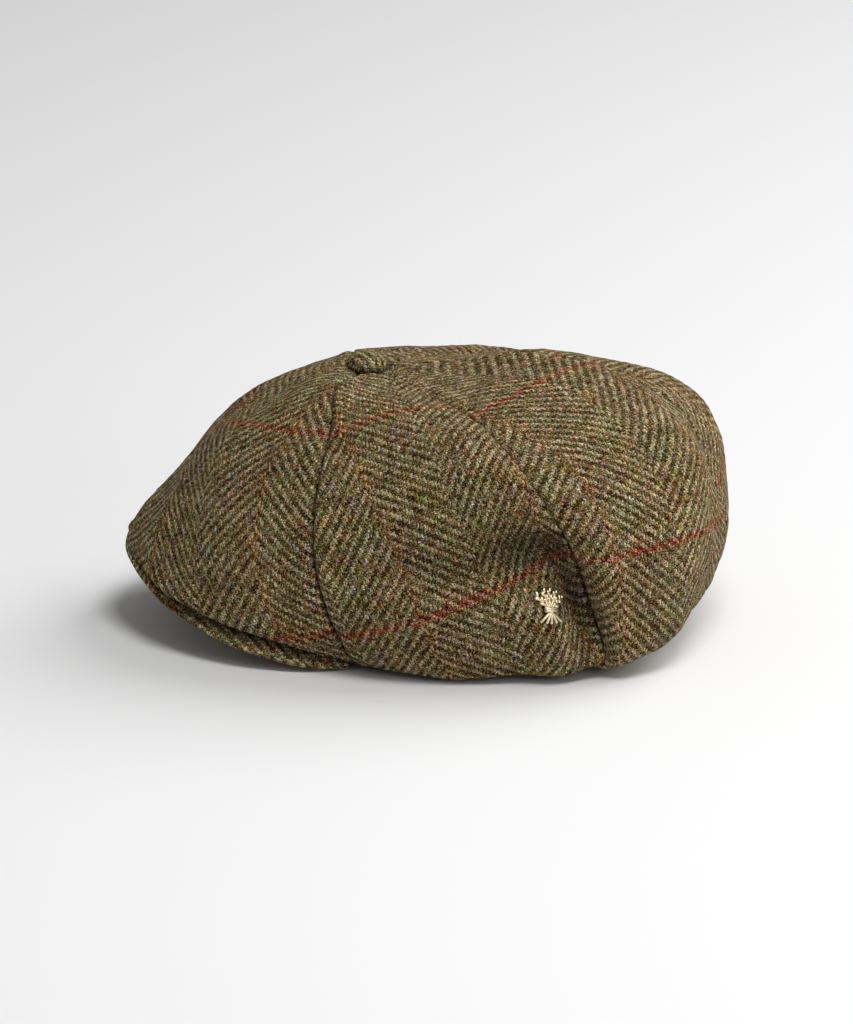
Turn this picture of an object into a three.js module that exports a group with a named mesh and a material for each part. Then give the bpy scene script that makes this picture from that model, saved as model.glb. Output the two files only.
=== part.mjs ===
// A soft tweed cap of six cloth panels with a covered button, a stiff peak and a head band.
// Millimetres, +Z up. The peak points to -Y and the wearer's left side is +X.
// The cap rests on the lower edge of its head band, at z = 0.
import * as THREE from "three";

const CLOTH = 2.0; // wall of the crown: tweed on its backing
const SEAM_GAP = 0.5; // clearance between two panels along a seam
const PIECE_GAP = 0.4; // clearance between pieces that face each other
const UNDER_GAP = 1.2; // clearance between the crown's underside and the top of the peak
const ORIGIN = { y: -1.15 }; // middle of the finished cap, front to back

const HEAD = { halfWidth: 84, halfLength: 100, centreY: 16 }; // opening for the head
const BAND = { height: 28, thickness: 2.4, steps: 72 };
const PEAK = { thickness: 3.5, edgeRound: 1.1, cornerAngle: 62, rise: 42, riseAngle: 66, foot: 4 };
const BUTTON = { radius: 10, height: 6.5, shankRadius: 2.6, shankLength: 4, y: -28.5, z: 126.1, tilt: -4 };
const BADGE = { height: 16.5, thickness: 1.4, standOff: 1.6, panel: "side", u: 0.85, v: 0.748 };

const GRID = { columns: 10, rowsPerStation: 3 };

// The lines that shape the crown, from the button down to the fold over the edge of the opening.
// Columns: station, x, y, z. A line's tuckAngle is where the cloth goes in to the band, as an angle
// round the opening from the front.
const LINES = {
  centreFront: {
    tuckAngle: 0,
    stations: [
      ["crown", 0, -34, 126],
      ["top", 0, -54, 123.5],
      ["shoulder", 0, -77, 111],
      ["upper", 0, -98, 93.5],
      ["side", 0, -116, 75],
      ["wide", 0, -130, 60],
      ["lower", 0, -139.5, 47.5],
      ["fold", 0, -137.5, 41.8],
    ],
  },
  midFront: {
    tuckAngle: 31,
    stations: [
      ["crown", 4, -33.5, 126],
      ["top", 16, -52, 122],
      ["shoulder", 33, -74, 110],
      ["upper", 45, -93, 92],
      ["side", 55, -101, 74],
      ["wide", 64, -105, 56],
      ["lower", 70, -107, 37.5],
      ["fold", 69.5, -104, 24.6],
    ],
  },
  frontSeam: {
    tuckAngle: 67,
    stations: [
      ["crown", 7, -31, 125.5],
      ["top", 30, -39.5, 123.5],
      ["shoulder", 58, -38.5, 114],
      ["upper", 80, -41.5, 97.3],
      ["side", 91, -43, 78.2],
      ["wide", 97, -42, 57],
      ["lower", 96, -35.5, 31],
      ["fold", 86.5, -25, 6.2],
    ],
  },
  midSide: {
    tuckAngle: 102,
    stations: [
      ["crown", 7, -28, 125],
      ["top", 30, -24, 123],
      ["shoulder", 58, -15, 117.5],
      ["upper", 82, -5, 103.5],
      ["side", 97, 6, 83.5],
      ["wide", 103, 15, 60],
      ["lower", 108.5, 24, 36],
      ["fold", 96, 33, 4.5],
    ],
  },
  rearSeam: {
    tuckAngle: 133,
    stations: [
      ["crown", 5, -25, 124.6],
      ["top", 24, -2.4, 123.6],
      ["shoulder", 50, 22, 119.8],
      ["upper", 77.5, 47, 109.2],
      ["side", 92, 64.5, 92.5],
      ["wide", 91, 78, 66],
      ["lower", 79.5, 84.5, 42],
      ["fold", 81, 94, 9],
    ],
  },
  midBack: {
    tuckAngle: 150,
    stations: [
      ["crown", 3, -23, 124.4],
      ["top", 12, 12, 127.3],
      ["shoulder", 24, 50, 129.8],
      ["upper", 38, 83, 122.5],
      ["side", 56, 106, 104],
      ["wide", 68, 120.5, 76],
      ["lower", 69, 127.5, 46],
      ["fold", 60, 121.5, 14],
    ],
  },
  centreBack: {
    tuckAngle: 180,
    stations: [
      ["crown", 0, -23, 124],
      ["top", 0, 12, 129],
      ["shoulder", 0, 50, 134.6],
      ["upper", 0, 89, 127.5],
      ["side", 0, 120.3, 108.6],
      ["wide", 0, 135.2, 75],
      ["lower", 0, 141.5, 50.5],
      ["fold", 0, 132.5, 22],
    ],
  },
};

const PANELS = {
  front: { lines: ["centreFront", "midFront", "frontSeam"], before: null, after: "side" },
  side: { lines: ["frontSeam", "midSide", "rearSeam"], before: "front", after: "back" },
  back: { lines: ["rearSeam", "midBack", "centreBack"], before: "side", after: null },
};

// Swells and dents of the cloth, which fade out towards the seams. u runs across a panel from front
// to back, v from the button down.
const SWELLS = [
  { panel: "back", sides: "LR", u: 0.72, v: 0.56, across: 0.2, along: 0.13, height: 9 },
  { panel: "back", sides: "LR", u: 0.11, v: 0.72, across: 0.1, along: 0.125, height: 14 },
  { panel: "side", sides: "LR", u: 0.55, v: 0.26, across: 0.25, along: 0.12, height: 1.5 },
  { panel: "side", sides: "LR", u: 0.84, v: 0.79, across: 0.11, along: 0.085, height: 9 },
  { panel: "side", sides: "LR", u: 0.965, v: 0.76, across: 0.055, along: 0.09, height: -10 },
  { panel: "side", sides: "L", u: 0.85, v: 0.38, across: 0.22, along: 0.12, height: 6 },
  { panel: "side", sides: "R", u: 0.85, v: 0.38, across: 0.22, along: 0.12, height: 4 },
  { panel: "side", sides: "L", u: 0.9, v: 0.62, across: 0.16, along: 0.07, height: -8 },
  { panel: "side", sides: "L", u: 0.6, v: 0.63, across: 0.4, along: 0.06, height: -7 },
  { panel: "side", sides: "R", u: 0.42, v: 0.66, across: 0.2, along: 0.09, height: -4 },
];

// The free edge of the peak's top, seen from the middle of the head opening.
// Columns: angle from the front, distance from the middle, height.
const PEAK_EDGE = [
  { angle: 0, reach: 159.8, z: 40 },
  { angle: 8, reach: 158.8, z: 38.5 },
  { angle: 16, reach: 153.8, z: 32.5 },
  { angle: 24, reach: 147, z: 25 },
  { angle: 32, reach: 139, z: 19.5 },
  { angle: 40, reach: 129.8, z: 13.5 },
  { angle: 48, reach: 118.5, z: 9 },
  { angle: 55, reach: 107.5, z: 5.6 },
  { angle: 62, reach: 93, z: 4 },
];

const radians = (degrees) => (degrees * Math.PI) / 180;
const mix = (a, b, t) => a + (b - a) * t;
const clamp01 = (t) => Math.min(1, Math.max(0, t));
const ease = (t) => t * t * (3 - 2 * t);

// Catmull-Rom spline through a list of vectors, where t counts the stations from 0.
function spline(points, t) {
  const i = Math.min(Math.floor(t), points.length - 2);
  const f = t - i;
  const b = points[i];
  const c = points[i + 1];
  const a = i > 0 ? points[i - 1] : b.clone().multiplyScalar(2).sub(c);
  const d = i + 2 < points.length ? points[i + 2] : c.clone().multiplyScalar(2).sub(b);
  const blend = (p, q, r, s) =>
    0.5 * (2 * q + (r - p) * f + (2 * p - 5 * q + 4 * r - s) * f ** 2 + (3 * q - p - 3 * r + s) * f ** 3);
  return new THREE.Vector3(blend(a.x, b.x, c.x, d.x), blend(a.y, b.y, c.y, d.y), blend(a.z, b.z, c.z, d.z));
}

// Head opening and peak, both measured round the middle of the opening.
function headRadius(angle, inset = 0) {
  const a = radians(angle);
  const across = Math.sin(a) / (HEAD.halfWidth - inset);
  const along = Math.cos(a) / (HEAD.halfLength - inset);
  return 1 / Math.hypot(across, along);
}

function roundHead(angle, radius, z) {
  const a = radians(angle);
  return new THREE.Vector3(radius * Math.sin(a), HEAD.centreY - radius * Math.cos(a), z);
}

function angleOf(x, y) {
  return Math.abs((Math.atan2(x, HEAD.centreY - y) * 180) / Math.PI);
}

// Height of the line where the peak's top meets the band.
function rootHeight(angle) {
  const turn = Math.min(90, (Math.abs(angle) * 90) / PEAK.riseAngle);
  return PEAK.foot + PEAK.rise * Math.max(0, Math.cos(radians(turn))) ** 1.1;
}

const peakEdgePoints = PEAK_EDGE.map((row) => new THREE.Vector3(row.angle, row.reach, row.z));

function peakEdge(angle) {
  const a = Math.abs(angle);
  let low = 0;
  let high = peakEdgePoints.length - 1;
  for (let step = 0; step < 30; step += 1) {
    const middle = (low + high) / 2;
    if (spline(peakEdgePoints, middle).x < a) low = middle;
    else high = middle;
  }
  return spline(peakEdgePoints, (low + high) / 2);
}

// Top of the peak over a point of the plan, or null where there is no peak.
function peakTop(x, y) {
  const angle = angleOf(x, y);
  if (angle > PEAK.cornerAngle) return null;
  const inner = headRadius(angle);
  const edge = peakEdge(angle);
  const reach = (Math.hypot(x, y - HEAD.centreY) - inner) / (edge.y - inner);
  if (reach < -0.05 || reach > 1) return null;
  return mix(rootHeight(angle), edge.z, reach);
}

const STATION_COUNT = 9; // the eight stations of a line and its end at the band

const lines = Object.fromEntries(
  Object.entries(LINES).map(([name, line]) => {
    const points = line.stations.map(([, x, y, z]) => new THREE.Vector3(x, y, z));
    points.push(roundHead(line.tuckAngle, headRadius(line.tuckAngle), tuckHeight(line.tuckAngle)));
    return [name, points];
  }),
);

function tuckHeight(angle) {
  return rootHeight(angle) + UNDER_GAP;
}

// A point of a left panel's outer face.
function crownPoint(panel, u, v) {
  const t = v * (STATION_COUNT - 1);
  const [a, m, b] = PANELS[panel].lines.map((name) => spline(lines[name], t));
  const p = a.multiplyScalar(2 * (u - 0.5) * (u - 1));
  p.addScaledVector(m, 4 * u * (1 - u));
  p.addScaledVector(b, 2 * u * (u - 0.5));
  const tuck = ease(clamp01(t - (STATION_COUNT - 2)));
  const angle = angleOf(p.x, p.y);
  const onBand = roundHead(angle, headRadius(angle), tuckHeight(angle));
  p.lerp(onBand, tuck);
  return p;
}

function slopes(pointAt, u, v) {
  const h = 0.002;
  const across = pointAt(Math.min(1, u + h), v).sub(pointAt(Math.max(0, u - h), v));
  const along = pointAt(u, Math.min(1, v + h)).sub(pointAt(u, Math.max(0, v - h)));
  return { across, normal: across.clone().cross(along).negate().normalize() };
}

function outerPoint(panel, side, u, v) {
  const bare = (s, t) => crownPoint(panel, s, t);
  const p = bare(u, v);
  const rise = SWELLS.filter((swell) => swell.panel === panel && swell.sides.includes(side))
    .map((s) => s.height * Math.exp(-(((u - s.u) / s.across) ** 2) - ((v - s.v) / s.along) ** 2))
    .reduce((sum, height) => sum + height, 0);
  const free = 1 - Math.abs(2 * u - 1) ** 10;
  p.addScaledVector(slopes(bare, u, v).normal, rise * free);
  const top = v > 0.7 ? peakTop(p.x, p.y) : null;
  if (top !== null) p.z = Math.max(p.z, top + UNDER_GAP);
  return p;
}

// Outward direction along a seam, shared by the panels on both sides of it.
function seamNormal(panel, side, u, v) {
  const own = slopes((s, t) => outerPoint(panel, side, s, t), u, v).normal;
  const next = u === 0 ? PANELS[panel].before : PANELS[panel].after;
  if (next) {
    const other = slopes((s, t) => outerPoint(next, side, s, t), 1 - u, v).normal;
    return own.add(other).normalize();
  }
  own.x = 0;
  return own.normalize();
}

// A closed wall between two grids of points that face each other.
function wallBetween(outer, inner, wraps = false) {
  const rows = outer.length;
  const columns = outer[0].length;
  const positions = [];
  for (const grid of [outer, inner]) {
    for (const row of grid) {
      for (const p of row) positions.push(p.x, p.y, p.z);
    }
  }
  const index = [];
  const at = (layer, r, c) => layer * rows * columns + r * columns + (c % columns);
  const quad = (a, b, c, d) => index.push(a, b, c, a, c, d);
  const spans = wraps ? columns : columns - 1;
  for (let c = 0; c < spans; c += 1) {
    for (let r = 0; r < rows - 1; r += 1) {
      quad(at(0, r, c), at(0, r + 1, c), at(0, r + 1, c + 1), at(0, r, c + 1));
      quad(at(1, r, c), at(1, r, c + 1), at(1, r + 1, c + 1), at(1, r + 1, c));
    }
    quad(at(0, 0, c), at(0, 0, c + 1), at(1, 0, c + 1), at(1, 0, c));
    quad(at(0, rows - 1, c), at(1, rows - 1, c), at(1, rows - 1, c + 1), at(0, rows - 1, c + 1));
  }
  for (let r = 0; r < rows - 1 && !wraps; r += 1) {
    quad(at(0, r, 0), at(1, r, 0), at(1, r + 1, 0), at(0, r + 1, 0));
    const c = columns - 1;
    quad(at(0, r, c), at(0, r + 1, c), at(1, r + 1, c), at(1, r, c));
  }
  const geometry = new THREE.BufferGeometry();
  geometry.setAttribute("position", new THREE.Float32BufferAttribute(positions, 3));
  geometry.setIndex(index);
  geometry.computeVertexNormals();
  return geometry;
}

// Keeps a point of the crown's tucked edge outside the band.
function clearOfBand(p) {
  const angle = angleOf(p.x, p.y);
  const radius = Math.hypot(p.x, p.y - HEAD.centreY);
  const nearest = headRadius(angle);
  if (radius >= nearest || p.z > BAND.height + rootHeight(angle)) return p;
  return roundHead(angle, nearest, p.z);
}

function mirrored(grid) {
  return grid.map((row) => row.map((p) => new THREE.Vector3(-p.x, p.y, p.z)).reverse());
}

function panelGeometry(panel, side) {
  const rows = GRID.rowsPerStation * (STATION_COUNT - 1);
  const outer = [];
  const inner = [];
  for (let r = 0; r <= rows; r += 1) {
    const v = r / rows;
    const outerRow = [];
    const innerRow = [];
    for (let c = 0; c <= GRID.columns; c += 1) {
      const u = c / GRID.columns;
      const isEdge = c === 0 || c === GRID.columns;
      const p = outerPoint(panel, side, u, v);
      const slope = slopes((s, t) => outerPoint(panel, side, s, t), u, v);
      const normal = isEdge ? seamNormal(panel, side, u, v) : slope.normal;
      if (isEdge) p.addScaledVector(slope.across.normalize(), (SEAM_GAP / 2) * (c === 0 ? 1 : -1));
      outerRow.push(clearOfBand(p));
      innerRow.push(clearOfBand(p.clone().addScaledVector(normal, -CLOTH)));
    }
    outer.push(outerRow);
    inner.push(innerRow);
  }
  return side === "L" ? wallBetween(outer, inner) : wallBetween(mirrored(outer), mirrored(inner));
}

function bandGeometry() {
  const faces = [PIECE_GAP, PIECE_GAP + BAND.thickness].map((inset) =>
    [1, 0.5, 0].map((level) =>
      Array.from({ length: BAND.steps }, (_, k) => {
        const angle = (360 * k) / BAND.steps;
        const front = angle > 180 ? angle - 360 : angle;
        const z = rootHeight(front) - PEAK.foot + BAND.height * level;
        return roundHead(front, headRadius(front, inset), z);
      }),
    ),
  );
  return wallBetween(faces[0], faces[1], true);
}

function peakGeometry() {
  const spans = [0, 0.2, 0.4, 0.6, 0.8, 0.96, 1];
  const steps = 40;
  const face = (drop, round) =>
    spans.map((reach) =>
      Array.from({ length: steps + 1 }, (_, k) => {
        const angle = mix(-PEAK.cornerAngle, PEAK.cornerAngle, k / steps);
        const edge = peakEdge(angle);
        const radius = mix(headRadius(angle), edge.y, reach);
        const z = mix(rootHeight(angle), edge.z, reach) - drop - (reach === 1 ? round : 0);
        return roundHead(angle, radius, z);
      }),
    );
  return wallBetween(face(0, PEAK.edgeRound), face(PEAK.thickness, -PEAK.edgeRound));
}

function buttonGeometry() {
  const dome = Array.from({ length: 8 }, (_, k) => {
    const a = radians((90 * k) / 7);
    return new THREE.Vector2(BUTTON.radius * Math.cos(a), BUTTON.height * (0.12 + 0.88 * Math.sin(a)));
  });
  dome[7].x = 0;
  const profile = [
    new THREE.Vector2(0, -BUTTON.shankLength),
    new THREE.Vector2(BUTTON.shankRadius, -BUTTON.shankLength),
    new THREE.Vector2(BUTTON.shankRadius, 0),
    new THREE.Vector2(BUTTON.radius * 0.92, 0),
    ...dome,
  ];
  return new THREE.LatheGeometry(profile, 24).rotateX(Math.PI / 2);
}

// Outline of a tied sheaf of corn: ears fanned at the top, a tied waist and spread straw below.
function badgeGeometry() {
  const half = BADGE.height / 2;
  const widths = [
    { y: -1, x: 0.52 },
    { y: -0.82, x: 0.5 },
    { y: -0.6, x: 0.62 },
    { y: -0.38, x: 0.5 },
    { y: -0.2, x: 0.26 },
    { y: 0, x: 0.34 },
    { y: 0.3, x: 0.62 },
    { y: 0.55, x: 0.88 },
    { y: 0.72, x: 0.86 },
    { y: 0.88, x: 0.6 },
    { y: 1, x: 0.2 },
  ];
  const right = widths.map((row) => new THREE.Vector2(row.x * half, row.y * half));
  const left = right.map((p) => new THREE.Vector2(-p.x, p.y)).reverse();
  const outline = new THREE.Shape([...right, ...left]);
  return new THREE.ExtrudeGeometry(outline, { depth: BADGE.thickness, bevelEnabled: false });
}

function piece(name, geometry, colour, roughness, metalness = 0) {
  const material = new THREE.MeshStandardMaterial({ color: colour, roughness, metalness, flatShading: true });
  const mesh = new THREE.Mesh(geometry, material);
  mesh.name = name;
  return mesh;
}

const TWEED = 0x6e6042;
const cap = new THREE.Group();
for (const panel of Object.keys(PANELS)) {
  cap.add(piece(`${panel}_left_panel`, panelGeometry(panel, "L"), TWEED, 0.95));
  cap.add(piece(`${panel}_right_panel`, panelGeometry(panel, "R"), TWEED, 0.95));
}
cap.add(piece("headband", bandGeometry(), 0x3a3226, 0.9));
cap.add(piece("peak", peakGeometry(), 0x5f5238, 0.95));

const button = piece("button", buttonGeometry(), 0x776947, 0.95);
button.position.set(0, BUTTON.y, BUTTON.z);
button.rotation.x = radians(BUTTON.tilt);
cap.add(button);

// The badge stands upright on the left side, flat against the cloth.
const badge = piece("badge", badgeGeometry(), 0xc9a86a, 0.35, 1);
const seat = outerPoint(BADGE.panel, "L", BADGE.u, BADGE.v);
const out = slopes((s, t) => outerPoint(BADGE.panel, "L", s, t), BADGE.u, BADGE.v).normal;
const upright = new THREE.Vector3(0, 0, 1).projectOnPlane(out).normalize();
const sideways = upright.clone().cross(out);
badge.quaternion.setFromRotationMatrix(new THREE.Matrix4().makeBasis(sideways, upright, out));
badge.position.copy(seat).addScaledVector(out, BADGE.standOff);
cap.add(badge);

cap.position.y = -ORIGIN.y;

export default cap;
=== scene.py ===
"""Looks of a soft tweed cap, made around its fixed frame.

Shapes are worked out in millimetres, with +Z up, the peak towards -Y and the wearer's left at +X.
"""
import math

import bpy
import numpy as np
from mathutils import Matrix, Vector


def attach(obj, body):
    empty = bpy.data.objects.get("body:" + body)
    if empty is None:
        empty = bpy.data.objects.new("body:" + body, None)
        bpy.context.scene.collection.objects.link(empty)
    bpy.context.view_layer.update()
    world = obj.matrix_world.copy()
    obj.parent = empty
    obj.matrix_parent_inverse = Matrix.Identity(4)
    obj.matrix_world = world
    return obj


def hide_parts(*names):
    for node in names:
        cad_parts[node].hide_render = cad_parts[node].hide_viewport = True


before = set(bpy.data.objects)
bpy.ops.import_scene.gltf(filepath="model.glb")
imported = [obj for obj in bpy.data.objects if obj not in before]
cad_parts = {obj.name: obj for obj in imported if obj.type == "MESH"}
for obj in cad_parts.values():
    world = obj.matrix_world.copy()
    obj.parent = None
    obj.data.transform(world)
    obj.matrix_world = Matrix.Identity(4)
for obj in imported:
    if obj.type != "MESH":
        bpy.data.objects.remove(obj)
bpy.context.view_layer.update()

MM = 0.001
TAU = 2 * math.pi

# Sizes of the cap. Angles are in degrees, and those of the peak run round the opening from its front.
# CLOTH is the cloth's thickness, UNDER_GAP the gap between the crown and what it lies on, and ORIGIN_Y
# the place of the frame's origin in these sizes.
CLOTH = 2.0
UNDER_GAP = 0.5
ORIGIN_Y = -1.15
HEAD = {"half_width": 84, "half_length": 100, "centre_y": 16}
BAND = {"height": 28, "thickness": 2.4, "inset": 0.4}
PEAK = {"thickness": 3.5, "corner_angle": 62, "rise": 42, "rise_angle": 66, "rise_power": 1.1,
        "foot": 4}
BUTTON = {"radius": 10, "height": 6.5, "y": -28.5, "z": 126.1, "tilt": -4}
# Reach is how far round the pin the cloth's own bowl is measured, and bend the share of it that the pin
# follows. Seat and bowl are the rows and columns of the cloth, each way, that give its tilt and bowl.
BADGE = {"height": 16.5, "gap": 0.3, "reach": 9.0, "bend": 0.6, "turn": 8, "seat": (16, 10),
         "bowl": (36, 20), "panel": "side", "u": 0.85, "v": 0.748}

# The lines that shape the crown, from the button down to the fold over the edge of the opening.
# A line's points are at the crown, top, shoulder, upper, side, wide, lower and fold stations. Its
# tuck is where the cloth goes in to the band, as an angle round the opening from the front.
LINES = {
    "centre_front": {"tuck": 0, "points": [
        (0, -34, 126), (0, -54, 123.5), (0, -77, 111), (0, -98, 93.5),
        (0, -116, 75), (0, -130, 60), (0, -139.5, 47.5), (0, -137.5, 41.8)]},
    "mid_front": {"tuck": 31, "points": [
        (4, -33.5, 126), (16, -52, 122), (33, -74, 110), (45, -93, 92),
        (55, -101, 74), (64, -105, 56), (70, -107, 37.5), (69.5, -104, 24.6)]},
    "front_seam": {"tuck": 67, "points": [
        (7, -31, 125.5), (30, -39.5, 123.5), (58, -38.5, 114), (80, -41.5, 97.3),
        (91, -43, 78.2), (97, -42, 57), (96, -35.5, 31), (86.5, -25, 6.2)]},
    "mid_side": {"tuck": 102, "points": [
        (7, -28, 125), (30, -24, 123), (58, -15, 117.5), (82, -5, 103.5),
        (97, 6, 83.5), (103, 15, 60), (108.5, 24, 36), (96, 33, 4.5)]},
    "rear_seam": {"tuck": 133, "points": [
        (5, -25, 124.6), (24, -2.4, 123.6), (50, 22, 119.8), (77.5, 47, 109.2),
        (92, 64.5, 92.5), (91, 78, 66), (79.5, 84.5, 42), (81, 94, 9)]},
    "mid_back": {"tuck": 150, "points": [
        (3, -23, 124.4), (12, 12, 127.3), (24, 50, 129.8), (38, 83, 122.5),
        (56, 106, 104), (68, 120.5, 76), (69, 127.5, 46), (60, 121.5, 14)]},
    "centre_back": {"tuck": 180, "points": [
        (0, -23, 124), (0, 12, 129), (0, 50, 134.6), (0, 89, 127.5),
        (0, 120.3, 108.6), (0, 135.2, 75), (0, 141.5, 50.5), (0, 132.5, 22)]},
}
STATION_COUNT = 9
# Below this share of their length the panels may lie on the peak.
NEAR_PEAK = 0.7
PANELS = {
    "front": ("centre_front", "mid_front", "front_seam"),
    "side": ("front_seam", "mid_side", "rear_seam"),
    "back": ("rear_seam", "mid_back", "centre_back"),
}

# Swells and dents, which fade out at the seams by a power of the way there. u runs across a panel
# from front to back, v from the button down. Columns: panel, sides, u, v, reach across, reach along,
# height.
SWELL_POWER = 10
SWELLS = [
    ("back", "LR", 0.72, 0.56, 0.2, 0.13, 9.0),
    ("back", "LR", 0.11, 0.72, 0.10, 0.125, 14.0),
    ("side", "LR", 0.55, 0.26, 0.25, 0.12, 1.5),
    ("side", "LR", 0.84, 0.79, 0.11, 0.085, 9.0),
    ("side", "LR", 0.965, 0.76, 0.055, 0.09, -10.0),
    ("side", "L", 0.85, 0.38, 0.22, 0.12, 6.0),
    ("side", "R", 0.85, 0.38, 0.22, 0.12, 4.0),
    ("side", "L", 0.90, 0.62, 0.16, 0.07, -8.0),
    ("side", "L", 0.60, 0.63, 0.40, 0.06, -7.0),
    ("side", "R", 0.42, 0.66, 0.2, 0.09, -4.0),
]

# The free edge of the peak, seen from the middle of the opening: angle from the front, reach, height.
PEAK_EDGE = [
    (0, 159.8, 40), (8, 158.8, 38.5), (16, 153.8, 32.5), (24, 147, 25), (32, 139, 19.5),
    (40, 129.8, 13.5), (48, 118.5, 9), (55, 107.5, 5.6), (62, 93, 4),
]

# The cloth: a 2/2 herringbone twill in thick yarns, with rust lines along it and red lines across.
YARN = 1.5
STRIPE_YARNS = 24
RED_SPACING = 71
BUTTON_HOLE = 7
# Where in the cloth the smaller pieces are cut, in yarns.
CUT_FROM = {"peak": (12.0, 7.0), "button": (100.0, 60.0)}

# How each panel is cut from the cloth. Turns are in degrees: of the warp, and of the weft at the top
# and at the bottom, where the cloth is pulled askew. The warp turns about the pivot on the panel's
# middle line, edge is where a rust line runs from there, and red where a red line crosses it.
CUTS = {
    ("front", "L"): {"warp": -12, "top": -20, "low": 0, "pivot": 100, "edge": 36, "red": 71},
    ("side", "L"): {"warp": -5, "top": -11, "low": -10, "pivot": 100, "edge": 18, "red": 62},
    ("back", "L"): {"warp": -2, "top": 18, "low": 4, "pivot": 120, "edge": 36, "red": 95},
    ("front", "R"): {"warp": -9, "top": -12, "low": -2, "pivot": 100, "edge": 22, "red": 64},
    ("side", "R"): {"warp": -3, "top": -5, "low": -5, "pivot": 100, "edge": 30, "red": 58},
    ("back", "R"): {"warp": 2, "top": 8, "low": 3, "pivot": 120, "edge": 28, "red": 84},
}

# The grid of a panel's outer face, and how many of its steps make one step of the inner face.
COLUMNS = 160
ROWS = 240
COARSE = 4

# A panel is laid flat on every eighth line of its grid, by evening out its edges so many times.
FLATTEN = {"step": 8, "rounds": 400, "push": 1.2}

# A seam is a furrow between two pillows. Within its turn, both panels come to face the same way.
SEAM = {"depth": 1.5, "width": 1.1, "turn": 6.0, "pillow": 0.35, "pillow_at": 4.5, "pillow_width": 3.0}
# The share of each seam's depth near the button, which grows to 1 between the values of v in SEAM_GROWS
# and falls to SEAM_LOW_SHARE between those in SEAM_FALLS.
SEAM_TOPS = {"centre_front": 0.6, "front_seam": 0.9, "rear_seam": 0.3, "centre_back": 0.4}
SEAM_GROWS = (0.35, 0.65)
SEAM_FALLS = (0.8, 0.88)
SEAM_LOW_SHARE = 0.5
PUCKER = {"height": 0.45, "reach": 8.0, "spacing": 11.0, "seed": 11}
WANDER = [
    {"size": 70.0, "height": 0.9, "seed": 3},
    {"size": 30.0, "height": 0.42, "seed": 5},
    {"size": 12.0, "height": 0.12, "seed": 8},
]
PEAK_WANDER = {"size": 14.0, "height": 0.12, "seed": 21}
WALE = {"height": 0.14, "fade": 1.5}

# Where little light comes, shade is painted on the cloth: in seams, in dents and round the button,
# where painted shades end at the reach given, and on the peak, from there inwards and towards its
# corners.
SHADE = {"seam_reach": 1.9, "dent_depth": 12.0, "dent_most": 0.85, "button": 0.85, "button_reach": 2.5,
         "button_rim": 0.45, "strength": 0.48}
PEAK_SHADE = {"starts": 3.0, "reach": 6.0, "most": 0.85, "corner": 0.45, "corner_starts": 33,
              "corner_reach": 15}


def mix(a, b, t):
    return a + (b - a) * t


def ease(t):
    return t * t * (3 - 2 * t)


def fade_in(values, start, end):
    """0 up to start, 1 from end on, and smooth in between."""
    return ease(np.clip((values - start) / (end - start), 0, 1))


def bell(distances, width):
    return np.exp(-((distances / width) ** 2))


def unit(vectors):
    length = np.linalg.norm(vectors, axis=-1, keepdims=True)
    return vectors / np.maximum(length, 1e-9)


def spline(rows, t):
    """Points on a smooth curve through an array's rows, where t counts the rows from 0."""
    rows = np.asarray(rows, float)
    p = np.concatenate([[2 * rows[0] - rows[1]], rows, [2 * rows[-1] - rows[-2]]])
    i = np.minimum(t.astype(int), len(rows) - 2)
    f = (t - i).reshape((-1,) + (1,) * (rows.ndim - 1))
    a, b, c, d = (p[i + k] for k in range(4))
    square = (2 * a - 5 * b + 4 * c - d) * f**2
    cube = (3 * b - a - 3 * c + d) * f**3
    return 0.5 * (2 * b + (c - a) * f + square + cube)


def waves(points, size, seed, count=14):
    """Smooth unevenness of about -1 to 1 whose hills are about size apart."""
    draw = np.random.default_rng(seed)
    directions = unit(draw.normal(size=(count, 3)))
    lengths = size * draw.uniform(0.7, 1.5, count)
    phases = draw.uniform(0, TAU, count)
    turns = points @ (directions * (TAU / lengths)[:, None]).T + phases
    return np.sin(turns).sum(-1) / math.sqrt(count)


# Head opening, band and peak.
def head_radius(angle, inset=0.0):
    a = np.radians(angle)
    across = np.sin(a) / (HEAD["half_width"] - inset)
    along = np.cos(a) / (HEAD["half_length"] - inset)
    return 1 / np.hypot(across, along)


def round_head(angle, radius, z):
    a = np.radians(angle)
    x = radius * np.sin(a)
    y = HEAD["centre_y"] - radius * np.cos(a)
    return np.stack(np.broadcast_arrays(x, y, z), axis=-1)


def angle_of(points):
    return np.degrees(np.arctan2(np.abs(points[..., 0]), HEAD["centre_y"] - points[..., 1]))


def root_height(angle):
    turn = np.minimum(90, np.abs(angle) * 90 / PEAK["rise_angle"])
    return PEAK["foot"] + PEAK["rise"] * np.maximum(0, np.cos(np.radians(turn))) ** PEAK["rise_power"]


PEAK_CURVE = spline(PEAK_EDGE, np.linspace(0, len(PEAK_EDGE) - 1, 200))


def peak_edge(angle):
    a = np.abs(angle)
    reach = np.interp(a, PEAK_CURVE[:, 0], PEAK_CURVE[:, 1])
    return reach, np.interp(a, PEAK_CURVE[:, 0], PEAK_CURVE[:, 2])


def peak_top(points):
    """Height of the peak's top under each point, and far below where there is no peak."""
    angle = angle_of(points)
    inner = head_radius(angle)
    reach, edge_z = peak_edge(angle)
    share = (np.hypot(points[..., 0], points[..., 1] - HEAD["centre_y"]) - inner) / (reach - inner)
    height = mix(root_height(angle), edge_z, share)
    return np.where((angle < PEAK["corner_angle"]) & (share > -0.05) & (share < 1), height, -1000)


# Crown.
def line_points(name):
    line = LINES[name]
    tuck = line["tuck"]
    end = round_head(tuck, head_radius(tuck), root_height(tuck) + UNDER_GAP)
    return np.array(line["points"] + [tuple(end)], float)


def face_normals(points):
    """Outward directions of a left panel's grid of points."""
    return unit(np.cross(np.gradient(points, axis=0), np.gradient(points, axis=1)))


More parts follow.
